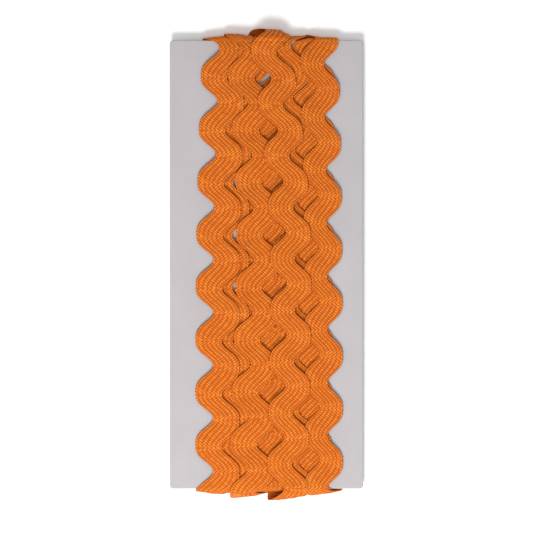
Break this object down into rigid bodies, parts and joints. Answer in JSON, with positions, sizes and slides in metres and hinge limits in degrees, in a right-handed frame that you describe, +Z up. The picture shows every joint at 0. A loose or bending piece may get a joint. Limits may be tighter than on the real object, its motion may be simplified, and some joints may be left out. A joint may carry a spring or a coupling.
{
  "type": "ric rac wound on a card",
  "caption": "Orange zigzag trim wound lengthwise in overlapping passes round a flat grey board, lying on its back.",
  "frame": {"origin": "on the resting surface, under the middle of the whole thing", "axes": "+X across the card to the right as seen from above, +Y along the card to its top end, +Z up, away from the surface"},
  "size_m": [0.056, 0.1374, 0.0073],
  "materials": {
    "board": "uncoated grey paperboard",
    "braid": "matt plaited polyester braid"
  },
  "bodies": {
    "root": {"card": "board", "trim_winding": "braid"}
  },
  "joints": []
}
